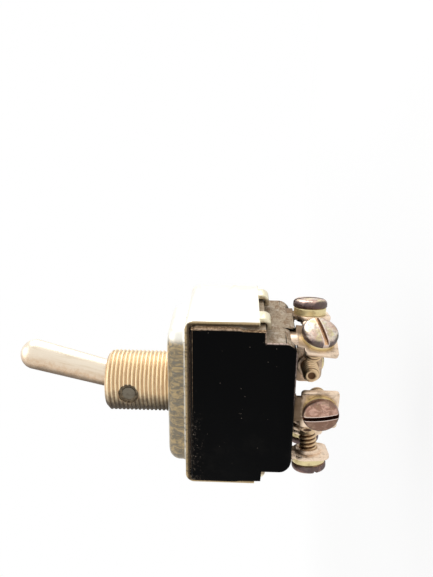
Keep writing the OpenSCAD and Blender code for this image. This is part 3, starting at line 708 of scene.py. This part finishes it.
def finish_mesh(mesh, smooth_angle):
    """Joins doubled points, turns faces outwards and smooths all but sharp edges."""
    work = bmesh.new()
    work.from_mesh(mesh)
    bmesh.ops.remove_doubles(work, verts=work.verts, dist=0.0001 * MM)
    bmesh.ops.recalc_face_normals(work, faces=work.faces)
    work.to_mesh(mesh)
    work.free()
    mesh.shade_smooth()
    mesh.set_sharp_from_angle(angle=math.radians(smooth_angle))
    mesh.update()


def finish_named(name):
    found = bpy.data.materials.get(name)
    if found is None:
        raise RuntimeError(f"the finish {name} isn't made yet")
    return found


def add_piece(name, mesh, node, finish, place=None):
    """Puts a mesh in the scene at the origin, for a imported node. finish is a finish's name."""
    if place is not None:
        mesh.transform(place)
    piece = bpy.data.objects.new(name, mesh)
    bpy.context.scene.collection.objects.link(piece)
    mesh.materials.clear()
    mesh.materials.append(finish_named(finish))
    body = NODE_BODY[node]
    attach(piece, body)
    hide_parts(node)
    return piece


def keep_modified(piece):
    """Puts the mesh that a piece's modifiers make in place of its own, and returns it."""
    graph = bpy.context.evaluated_depsgraph_get()
    made = bpy.data.meshes.new_from_object(piece.evaluated_get(graph), depsgraph=graph)
    piece.modifiers.clear()
    piece.data = made
    return made


def cut(piece, cutters, smooth_angle):
    """Cuts closed meshes out of a piece and keeps the result as its mesh."""
    tools = []
    for mesh in cutters:
        tool = bpy.data.objects.new("cutter", mesh)
        bpy.context.scene.collection.objects.link(tool)
        step = piece.modifiers.new("cut", "BOOLEAN")
        step.operation = "DIFFERENCE"
        step.solver = "EXACT"
        step.object = tool
        tools.append(tool)
    made = keep_modified(piece)
    if len(made.polygons) == 0:
        raise RuntimeError(f"cutting {piece.name} left nothing")
    for tool in tools:
        bpy.data.objects.remove(tool)
    made.shade_smooth()
    made.set_sharp_from_angle(angle=math.radians(smooth_angle))


def block_mesh(low, high):
    """A closed box between two corners in millimetres."""
    work = bmesh.new()
    bmesh.ops.create_cube(work, size=1.0)
    low, high = Vector(low), Vector(high)
    size = high - low
    for vert in work.verts:
        vert.co = Vector([(vert.co[i] + 0.5) * size[i] + low[i] for i in range(3)]) * MM
    mesh = bpy.data.meshes.new("block")
    work.to_mesh(mesh)
    work.free()
    return mesh


def softened(name, node, finish, radius):
    """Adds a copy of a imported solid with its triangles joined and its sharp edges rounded.

    The radius is in metres. A point that the rounding throws off the solid goes back to it."""
    mesh = frame["nodes"][node].data.copy()
    work = bmesh.new()
    work.from_mesh(mesh)
    bmesh.ops.remove_doubles(work, verts=work.verts, dist=0.002 * MM)
    bmesh.ops.dissolve_limit(work, angle_limit=math.radians(0.5), verts=work.verts,
                             edges=work.edges)
    work.to_mesh(mesh)
    packed = BVHTree.FromBMesh(work)
    work.free()
    mesh.name = name
    mesh.shade_smooth()
    piece = add_piece(name, mesh, node, finish)
    bevel = piece.modifiers.new("soft_edges", "BEVEL")
    bevel.width = radius
    bevel.segments = 2
    bevel.limit_method = "ANGLE"
    bevel.angle_limit = math.radians(SMOOTH_ANGLE)
    bevel.use_clamp_overlap = False
    bevel.harden_normals = True
    for vert in keep_modified(piece).vertices:
        near, _, _, far = packed.find_nearest(vert.co)
        if far > radius * 0.5:
            vert.co = near


def turned(degrees, axis):
    return Matrix.Rotation(math.radians(degrees), 4, axis)


def moved(*steps):
    """A move by steps in millimetres."""
    return Matrix.Translation([step * MM for step in steps])


def screw_place(place):
    """Matrix of a terminal's screw: Z runs out along it, from the middle of the tab."""
    if place.end:
        foot = moved(place.end * END_X, place.row * POLE, 0) @ turned(-90 * place.end, "Z")
        level = END_SCREW_Z + place.rise
    else:
        foot = moved(0, place.row * MID_Y, 0) @ turned(0 if place.row > 0 else 180, "Z")
        level = MID_SCREW_Z + place.rise
    bent = moved(place.shift, 0, BEND) @ turned(place.turn, "Z") @ turned(-place.lean, "X")
    return foot @ bent @ moved(0, 0, level - BEND) @ turned(-90, "X")


NODE_BODY = {n: b for b, members in frame["record"]["behaviour"]["bodies"].items()
             for n in members}
NODE_SLOT = {p["node"]: p["material_slot"] for p in frame["record"]["subparts"]}


def millimetres(sizes):
    """The sizes of a property group as plain numbers in millimetres."""
    return {key: getattr(sizes, key) / MM for key in type(sizes).__annotations__}


# ---- Operators ----


class SWITCH_OT_finishes(bpy.types.Operator):
    """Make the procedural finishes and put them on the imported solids"""

    bl_idname = "switch.finishes"
    bl_label = "Finishes"

    def execute(self, context):
        tints = context.scene.switch_finishes
        by_slot = {
            "phenolic": phenolic_finish(tints),
            "plated_steel": plating_finish(tints),
            "plated_brass": thread_finish(tints),
            "lever_plate": lever_finish(tints),
            "terminal_brass": strip_finish(tints),
            "screw_steel": screw_finish(tints),
            "washer_brass": washer_finish(tints),
            # The pin's steel is darkened beyond its own tone to stand for the shade in its hole:
            # painted shade.
            "steel": plain_metal_finish(
                "shaded_pin_steel", (0.19, 0.165, 0.125), (0.09, 0.07, 0.05), 0.35, 1.2),
            "spring_steel": plain_metal_finish(
                "spring_wire", (0.6, 0.6, 0.62), (0.35, 0.33, 0.32), 0.2, 1.5),
            "rocker_copper": plain_metal_finish(
                "rocker_copper", (0.75, 0.47, 0.28), (0.4, 0.22, 0.12), 0.3, 0.7),
            "silver": plain_metal_finish(
                "contact_silver", (0.85, 0.85, 0.84), (0.4, 0.38, 0.36), 0.25, 1.5),
            "moulded_yoke": plain_dull_finish(
                "brown_moulding", (0.12, 0.05, 0.025), (0.06, 0.025, 0.012), 0.4, 0.5),
            "fibre": plain_dull_finish(
                "dark_fibre", (0.05, 0.028, 0.016), (0.1, 0.06, 0.035), 0.75, 1.5),
        }
        for node, obj in frame["nodes"].items():
            for place in obj.material_slots:
                place.material = by_slot[NODE_SLOT[node]]
        return {"FINISHED"}


class SWITCH_OT_housing(bpy.types.Operator):
    """Soften the edges of the cover and the body"""

    bl_idname = "switch.housing"
    bl_label = "Housing"

    def execute(self, context):
        edge = context.scene.switch_sizes.soft_edge
        softened("pressed_cover", "cover", "dull_plating", edge)
        softened("moulded_body", "body", "black_phenolic", edge)
        return {"FINISHED"}


class SWITCH_OT_bushing(bpy.types.Operator):
    """Cut the bushing's thread, and the hole and recesses for its pin"""

    bl_idname = "switch.bushing"
    bl_label = "Bushing"

    def execute(self, context):
        s = millimetres(context.scene.switch_sizes)
        mesh = self.turned_mesh(s)
        keep_field(mesh, "inside", 0.0, "FACE")
        piece = add_piece("threaded_bushing", mesh, "bushing", "worn_thread")
        cut(piece, [self.pin_tool(front, s["bushing_d"] / 2) for front in (-1, 1)], 50)
        return {"FINISHED"}

    def turned_mesh(self, s):
        """Thread, bore, flange with two flats and neck, turned about Z."""
        sides = 144
        outer, bore, top = s["bushing_d"] / 2, s["bushing_bore"] / 2, s["bushing_len"]
        level = np.linspace(0, top, int(top / s["bushing_pitch"] * 12))
        depth = thread_wave(level, sides, s["bushing_pitch"])
        fade = np.clip(level / THREAD_RUN_IN, 0, 1)[:, None]
        chamfer = outer - np.clip(level - (top - BUSHING_CHAMFER), 0, None)[:, None]
        radius = np.minimum(outer - s["bushing_thread"] * depth * fade, chamfer)
        # A straight line at a distance from the axis is that distance over the sine
        angle = np.linspace(0, 2 * np.pi, sides, endpoint=False)
        flats = FLANGE_FLATS / 2 / np.maximum(abs(np.sin(angle)), 0.01)
        flange = np.minimum(FLANGE_D / 2, flats)
        neck = outer - NECK_INSET
        rows = ((bore + MOUTH_CHAMFER, top), (bore, top - MOUTH_CHAMFER), (bore, FLANGE_UNDER),
                (flange, FLANGE_UNDER), (flange, FLANGE_TOP), (neck, FLANGE_TOP), (neck, 0.0))
        radius = np.vstack([radius, [np.broadcast_to(r, sides) for r, _ in rows]])
        crest = np.vstack([1 - depth * fade, np.full((len(rows), sides), PLAIN_CREST)])
        level = np.concatenate([level, [z for _, z in rows]])
        points = revolved(radius, level, sides)
        return grid_mesh("threaded_bushing", points, 50, True, crest=crest)

    def pin_tool(self, front, outer):
        """The pin's hole and recess as a solid from inside the bore to outside the thread."""
        hole, recess, bottom = PIN_HOLE_D / 2, PIN_RECESS_D / 2, outer - PIN_RECESS_DEPTH
        start, end = 3.5, 9
        points = revolved([0, hole, hole, recess, recess, 0],
                          [start, start, bottom, bottom, end, end], 64)
        tool = grid_mesh("recess", points, crest=np.zeros(points.shape[:2]))
        keep_field(tool, "inside", 1.0, "FACE")
        tool.transform(moved(*PIVOT) @ turned(-90 * front, "X"))
        return tool


class SWITCH_OT_lever(bpy.types.Operator):
    """Turn the bat lever with its ball and stem, and bore it for its pin"""

    bl_idname = "switch.lever"
    bl_label = "Lever"

    def execute(self, context):
        s = millimetres(context.scene.switch_sizes)
        tip, neck = s["tip_d"] / 2, s["neck_d"] / 2
        centre = s["reach"] - tip
        # Round tip, straight taper to the neck, ball and stem
        arc = np.radians(np.linspace(90, 2, 24))
        start = math.asin(math.sqrt(max(0.0, BALL_R ** 2 - neck ** 2)) / BALL_R)
        low = np.linspace(start, -math.acos(STEM_R / BALL_R), 24)
        taper = np.linspace(centre, BALL_R * math.sin(start), 12)[1:-1]
        radius = np.concatenate([
            tip * np.cos(arc), neck + (tip - neck) * taper / centre, BALL_R * np.cos(low),
            [STEM_R, 0.0]])
        height = np.concatenate([
            centre + tip * np.sin(arc), taper, BALL_R * np.sin(low), [STEM_END, STEM_END]])
        mesh = grid_mesh("bat_lever", revolved(radius, height, 96), 40)
        lean = moved(*PIVOT) @ turned(LEVER_LEAN, "Y")
        piece = add_piece("bat_lever", mesh, "lever", "lever_plating", lean)
        bore, reach = LEVER_BORE_R, LEVER_BORE_REACH
        tool = grid_mesh("bore", revolved([0, bore, bore, 0], [-reach, -reach, reach, reach], 64))
        tool.transform(moved(*PIVOT) @ turned(-90, "X"))
        cut(piece, [tool], 40)
        return {"FINISHED"}


class SWITCH_OT_springs(bpy.types.Operator):
    """Coil the two springs"""

    bl_idname = "switch.springs"
    bl_label = "Springs"

    def execute(self, context):
        s = millimetres(context.scene.switch_sizes)
        wire, coil = s["spring_wire"] / 2, s["spring_r"]
        seat, low, travel = SPRING_SEAT, SPRING_LOW, SPRING_TRAVEL
        # A tube round a helix: ((coil + w cos b) cos a, (coil + w cos b) sin a, rise + w sin b),
        # with w the wire's radius, which falls to 0 at both ends to close them
        a = np.linspace(0, 2 * np.pi * SPRING_TURNS, 40 * SPRING_TURNS + 1)
        rise = low + wire + a / a[-1] * (seat - SPRING_GAP - wire - low - wire)
        thick = np.full((len(a), 1), wire)
        a, rise = np.pad(a, 1, "edge")[:, None], np.pad(rise, 1, "edge")[:, None]
        thick = np.pad(thick, ((1, 1), (0, 0)))
        b = np.linspace(0, 2 * np.pi, 12, endpoint=False)
        out = coil + thick * np.cos(b)
        points = np.stack([out * np.cos(a), out * np.sin(a), rise + thick * np.sin(b)], axis=-1)
        for name, row in (("front", -1), ("back", 1)):
            mesh = grid_mesh("spring_" + name, points, 60)
            lean = moved(*PIVOT) @ turned(LEVER_LEAN, "Y")
            piece = add_piece("coil_spring_" + name, mesh, "spring_" + name,
                              "spring_wire", lean @ moved(0, row * POLE, 0))
            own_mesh(piece)
        return {"FINISHED"}


class SWITCH_OT_terminals(bpy.types.Operator):
    """Soften the edges of the six terminals"""

    bl_idname = "switch.terminals"
    bl_label = "Terminals"

    def execute(self, context):
        edge = context.scene.switch_sizes.soft_edge
        for name in PLACES:
            softened("strip_" + name, "terminal_" + name, "dull_strip", edge)
        return {"FINISHED"}


class SWITCH_OT_screws(bpy.types.Operator):
    """Turn the six terminal screws, thread them and cut their slots"""

    bl_idname = "switch.screws"
    bl_label = "Screws"

    def execute(self, context):
        s = millimetres(context.scene.switch_sizes)
        points = self.turned_points(s)
        for name, place in PLACES.items():
            mesh = grid_mesh("screw_" + name, points, 50)
            keep_field(mesh, "inside", 0.0, "FACE")
            washer = s["flat_washer_h"] if place.flat else s["washer_h"]
            seat = screw_place(place) @ moved(0, 0, STRIP / 2 + washer)
            piece = add_piece("slotted_screw_" + name, mesh, "screw_" + name,
                              "tarnished_screw", seat)
            turn = seat @ turned(place.slot, "Z")
            cut(piece, [self.slot_tool(s, turn)], 50)
            self.mark(piece.data, s, turn, place.brown)
        return {"FINISHED"}

    def turned_points(self, s):
        """A screw's points from the crown, over the rim and down its thread, to its dish."""
        sides = 72
        r, head, shank = s["head_d"] / 2, s["head_h"], s["screw_d"] / 2
        # The crown is a cap of a sphere, HEAD_CROWN high over the flat's radius
        flat = r - HEAD_EDGE
        sphere = (flat ** 2 + HEAD_CROWN ** 2) / (2 * HEAD_CROWN)
        out = np.linspace(0, flat, 12)
        crown_z = head - sphere + np.sqrt(sphere ** 2 - out ** 2)
        arc = np.radians(np.linspace(80, 0, 9))
        head_r = np.concatenate([out, flat + HEAD_EDGE * np.cos(arc),
                                 [r, r - HEAD_CHAMFER, shank - UNDERSIDE_INSET]])
        edge_z = head - HEAD_CROWN - HEAD_EDGE + HEAD_EDGE * np.sin(arc)
        head_z = np.concatenate([crown_z, edge_z, [HEAD_CHAMFER, 0.0, 0.0]])
        tip = -s["screw_len"]
        level = np.linspace(-0.02, tip, int(s["screw_len"] / s["screw_pitch"] * 10))
        depth = thread_wave(level, sides, s["screw_pitch"])
        chamfer = shank - TIP_CHAMFER + np.clip(level - tip, 0, TIP_CHAMFER)[:, None]
        thread = np.minimum(shank - s["screw_thread"] * depth, chamfer)
        head_rows = np.repeat(head_r[:, None], sides, 1)
        dish_rows = np.repeat([[shank - DISH_RIM], [0.0]], sides, 1)
        radius = np.vstack([head_rows, thread, dish_rows])
        height = np.concatenate([head_z, level, [tip + 0.02, tip + DISH_DEPTH]])
        return revolved(radius, height, sides)

    def slot_tool(self, s, turn):
        """The slot as a block, longer than the head is wide. Its floor is marked with 2."""
        half, reach, head = s["slot_w"] / 2, s["head_d"] / 2 + 1, s["head_h"]
        tool = block_mesh((-half, -reach, head - s["slot_depth"]), (half, reach, head + 1))
        keep_field(tool, "inside", [2.0 if abs(face.normal.z) > 0.5 else 1.0
                                    for face in tool.polygons], "FACE")
        tool.transform(turn)
        return tool

    def mark(self, mesh, s, turn, brown):
        """Keeps the attributes that the finish reads."""
        x, y, z = points_in(mesh, turn).T
        out = np.hypot(x, y)
        keep_field(mesh, "rim", np.where(z > -0.01, out / (s["head_d"] / 2), -1.0))
        keep_field(mesh, "slot", x)
        crest = 1 - (s["screw_d"] / 2 - out) / s["screw_thread"]
        # Across the dished tip crest falls to 0 towards the middle, so the finish paints the dish
        # dark: painted shade.
        tip = np.clip((out - 0.35) / 0.6, 0, 1)
        keep_field(mesh, "crest", np.where(z < 0.45 - s["screw_len"], tip, crest))
        keep_field(mesh, "brown", brown)


class SWITCH_OT_washers(bpy.types.Operator):
    """Turn the six cup washers"""

    bl_idname = "switch.washers"
    bl_label = "Washers"

    def execute(self, context):
        s = millimetres(context.scene.switch_sizes)
        r, hole = s["washer_d"] / 2, s["screw_d"] / 2 + WASHER_PLAY
        # Sheet round the hole, round rim, and the cup's wall down to the strip
        arc = np.radians(np.linspace(90, 0, 7))
        radius = np.concatenate([[hole, hole], r - WASHER_ROUND + WASHER_ROUND * np.cos(arc),
                                 [r - 0.06, r, r - WASHER_SHEET, r - WASHER_SHEET]])
        for name, place in PLACES.items():
            h = s["flat_washer_h"] if place.flat else s["washer_h"]
            under = h - WASHER_SHEET
            height = np.concatenate([[under, h], h - WASHER_ROUND + WASHER_ROUND * np.sin(arc),
                                     [h * 0.4, 0.05, 0.0, under]])
            mesh = grid_mesh("washer_" + name, revolved(radius, height, 72), 50, True)
            seat = screw_place(place) @ moved(0, 0, STRIP / 2)
            add_piece("cup_washer_" + name, mesh, "washer_" + name, "yellow_brass", seat)
        return {"FINISHED"}


class SWITCH_OT_stage(bpy.types.Operator):
    """Set the camera, the lamps, the pale floor and the surroundings"""

    bl_idname = "switch.stage"
    bl_label = "Stage"

    def execute(self, context):
        scene = context.scene
        stage = scene.switch_stage
        scene.view_settings.view_transform = "Standard"
        camera = bpy.data.cameras.new("viewpoint")
        camera.lens = FOCAL_LENGTH
        camera.clip_start = 5 * MM
        camera.clip_end = 20000 * MM
        eye = bpy.data.objects.new("viewpoint", camera)
        scene.collection.objects.link(eye)
        eye.location = Vector(EYE) * MM
        eye.rotation_euler = [math.radians(a) for a in EYE_TURN]
        scene.camera = eye
        self.lamp("key", *KEY_LAMP, stage.key)
        self.lamp("top", *TOP_LAMP, stage.top)
        self.floor(stage)
        self.surroundings(scene, stage)
        return {"FINISHED"}

    def lamp(self, name, place, size, power):
        """A square lamp that faces the origin and that the camera doesn't see."""
        light = bpy.data.lights.new(name, "AREA")
        light.energy = power
        light.size = size * MM
        lamp = bpy.data.objects.new(name, light)
        bpy.context.scene.collection.objects.link(lamp)
        lamp.location = [p * MM for p in place]
        lamp.rotation_euler = (-Vector(place)).to_track_quat("-Z", "Y").to_euler()
        lamp.visible_camera = False

    def floor(self, stage):
        """A pale floor below the switch that looks white but for a soft shadow."""
        low = CAD_BOX[0][2] - stage.floor_drop
        far = FLOOR_REACH * MM
        mesh = bpy.data.meshes.new("floor")
        mesh.from_pydata([(x * far, y * far, low) for x, y in ((-1, -1), (1, -1), (1, 1), (-1, 1))],
                         [], [(0, 1, 2, 3)])
        floor = bpy.data.objects.new("floor", mesh)
        bpy.context.scene.collection.objects.link(floor)
        f = Finish("pale_floor")
        cloud = f.noise(f.place(), 0.02, 3)
        base = f.mix(cloud * 0.3, (0.97, 0.97, 0.97), (0.94, 0.94, 0.94))
        shader = f.node("ShaderNodeBsdfPrincipled", None, {"Base Color": base, "Roughness": 0.9})
        glow = f.node("ShaderNodeEmission", None, {"Color": (1, 1, 1), "Strength": 1.0})
        # Pure white from afar, and with a faint shadow near the switch
        x, y, _ = f.parts(f.place())
        away = ((x * x + y * y) ** 0.5).rise(90, 260)
        mixed = f.node("ShaderNodeMixShader", None,
                       {0: f.seen() * (0.78 + away * 0.22), 1: shader.outputs[0],
                        2: glow.outputs[0]})
        f.node("ShaderNodeOutputMaterial", None, {"Surface": mixed.outputs[0]})
        mesh.materials.append(f.material)

    def surroundings(self, scene, stage):
        """White to the camera, mirrors and glass; else soft light, brightest from +X."""
        world = bpy.data.worlds.new("surroundings")
        scene.world = world
        world.use_nodes = True
        f = Finish("surroundings", world.node_tree)
        way = f.node("ShaderNodeTexCoord").outputs["Generated"]
        dot = f.node("ShaderNodeVectorMath", {"operation": "DOT_PRODUCT"},
                     {0: way, 1: Vector((1, 0.05, 0.15)).normalized()})
        lit = Value(f, dot.outputs["Value"]).rise(-0.7, 0.55)
        seen = f.seen()
        strength = seen + stage.ambient * (0.5 + lit) * (1 - seen)
        back = f.node("ShaderNodeBackground", None, {"Color": (1, 1, 1), "Strength": strength})
        f.node("ShaderNodeOutputWorld", None, {"Surface": back.outputs[0]})


class SWITCH_PT_panel(bpy.types.Panel):
    """Lists the steps that dress the switch"""

    bl_idname = "SWITCH_PT_panel"
    bl_label = "Panel toggle switch"
    bl_space_type = "VIEW_3D"
    bl_region_type = "UI"
    bl_category = "Switch"

    def draw(self, context):
        for step in STEPS:
            self.layout.operator(step.bl_idname)
        for name in GROUPS:
            group = getattr(context.scene, name)
            box = self.layout.box()
            for key in type(group).__annotations__:
                box.prop(group, key)


STEPS = (SWITCH_OT_finishes, SWITCH_OT_housing, SWITCH_OT_bushing, SWITCH_OT_lever,
         SWITCH_OT_springs, SWITCH_OT_terminals, SWITCH_OT_screws, SWITCH_OT_washers,
         SWITCH_OT_stage)
GROUPS = {"switch_sizes": SwitchSizes, "switch_finishes": SwitchFinishes,
          "switch_stage": SwitchStage}
CLASSES = (*GROUPS.values(), *STEPS, SWITCH_PT_panel)


def register():
    for made in CLASSES:
        bpy.utils.register_class(made)
    for name, group in GROUPS.items():
        setattr(bpy.types.Scene, name, bpy.props.PointerProperty(type=group))


def unregister():
    for name in GROUPS:
        delattr(bpy.types.Scene, name)
    for made in reversed(CLASSES):
        bpy.utils.unregister_class(made)


def main():
    register()
    for step in STEPS:
        group, name = step.bl_idname.split(".")
        getattr(getattr(bpy.ops, group), name)()


if __name__ == "__main__":
    main()
